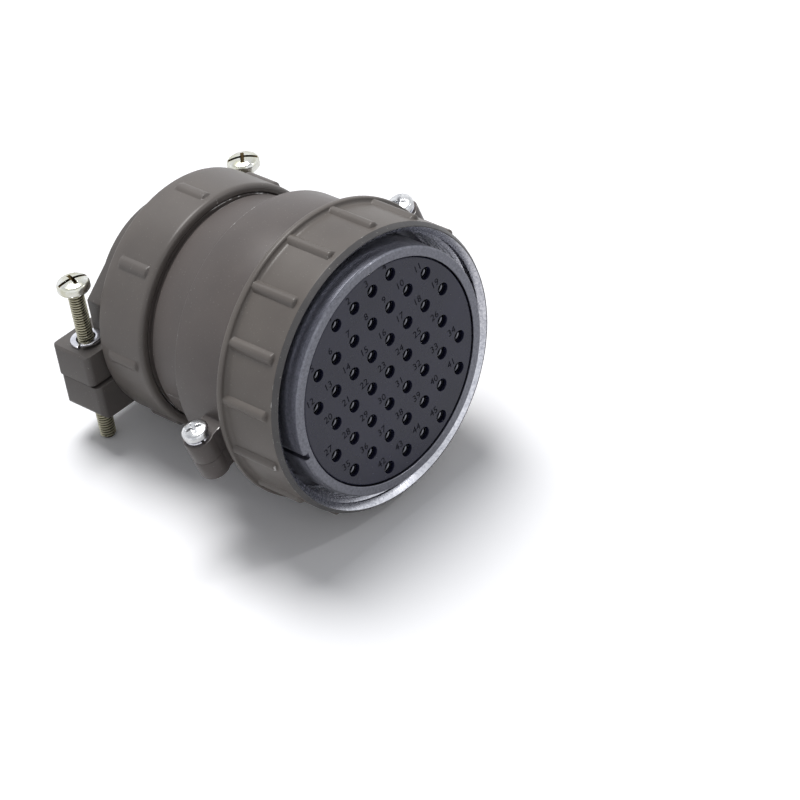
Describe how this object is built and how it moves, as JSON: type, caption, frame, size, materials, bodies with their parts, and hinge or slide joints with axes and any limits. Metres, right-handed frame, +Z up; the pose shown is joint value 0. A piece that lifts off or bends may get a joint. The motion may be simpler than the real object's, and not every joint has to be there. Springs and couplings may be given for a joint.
{
  "type": "circular cable plug",
  "caption": "Round multi-pole cable plug with a ribbed coupling nut, socket contacts, a split rear housing and a screw-down saddle clamp for the cable.",
  "frame": {"origin": "where the plug's axis meets the plane of the spigot's end, the mating face", "axes": "-Y along the plug's axis out of the mating face, towards the receptacle; +Z up, along the clamp screws; +X to the right seen from the mating side"},
  "size_m": [0.0829, 0.0797, 0.0728],
  "materials": {
    "painted_nut": "semi-gloss brown-grey paint, worn bright on the edges",
    "painted_housing": "semi-gloss brown-grey paint",
    "painted_clamp": "semi-gloss brown-grey paint, darker",
    "plated_shell": "bare plated metal with fine scratches",
    "insulator": "glossy blue-black moulding",
    "insulator_rear": "matt black moulding",
    "contact_plate": "turned brass, silver plated",
    "bright_zinc": "bright zinc plate",
    "spring_steel": "bright spring steel",
    "yellow_zinc": "yellow zinc plate",
    "ring_steel": "plain steel",
    "seal_rubber": "black rubber"
  },
  "bodies": {
    "housing": {"front_shell": "plated_shell", "front_insulator": "insulator", "rear_insulator": "insulator_rear", "socket_contacts": "contact_plate", "insert_snap_ring": "ring_steel", "upper_half_shell": "painted_housing", "lower_half_shell": "painted_housing", "shell_screw_left": "bright_zinc", "shell_screw_right": "bright_zinc", "shell_lock_washer_left": "spring_steel", "shell_lock_washer_right": "spring_steel", "seal_ring": "seal_rubber"},
    "nut": {"coupling_nut": "painted_nut"},
    "clamp_carrier": {"slip_ring": "ring_steel"},
    "cap_nut": {"rear_nut": "painted_nut"},
    "clamp": {"clamp_body": "painted_clamp"},
    "saddle": {"upper_saddle": "painted_clamp", "clamp_lock_washer_left": "spring_steel", "clamp_lock_washer_right": "spring_steel"},
    "screw_left": {"clamp_screw_left": "yellow_zinc"},
    "screw_right": {"clamp_screw_right": "yellow_zinc"}
  },
  "joints": [
    {"name": "coupling_nut_spin", "type": "hinge", "parent": "housing", "child": "nut", "pos_m": [0, 0.01, 0], "axis": [0, 1, 0], "continuous": true},
    {"name": "clamp_carrier_slide", "type": "slide", "parent": "housing", "child": "clamp_carrier", "axis": [0, 1, 0], "range_m": [0, 0.0075]},
    {"name": "rear_nut_turn", "type": "hinge", "parent": "clamp_carrier", "child": "cap_nut", "pos_m": [0, 0.058, 0], "axis": [0, 1, 0], "range_deg": [0, 1790]},
    {"name": "clamp_swivel", "type": "hinge", "parent": "clamp_carrier", "child": "clamp", "pos_m": [0, 0.064, 0], "axis": [0, 1, 0], "continuous": true},
    {"name": "saddle_lift", "type": "slide", "parent": "clamp", "child": "saddle", "axis": [0, 0, 1], "range_m": [0, 0.013]},
    {"name": "clamp_screw_left_turn", "type": "hinge", "parent": "clamp", "child": "screw_left", "pos_m": [-0.0285, 0.0732, -0.013], "axis": [0, 0, 1], "continuous": true},
    {"name": "clamp_screw_right_turn", "type": "hinge", "parent": "clamp", "child": "screw_right", "pos_m": [0.0285, 0.0732, -0.013], "axis": [0, 0, 1], "continuous": true}
  ],
  "couplings": [
    {"joint": "clamp_carrier_slide", "follows": "rear_nut_turn", "m_per_rad": 0.00023873}
  ]
}
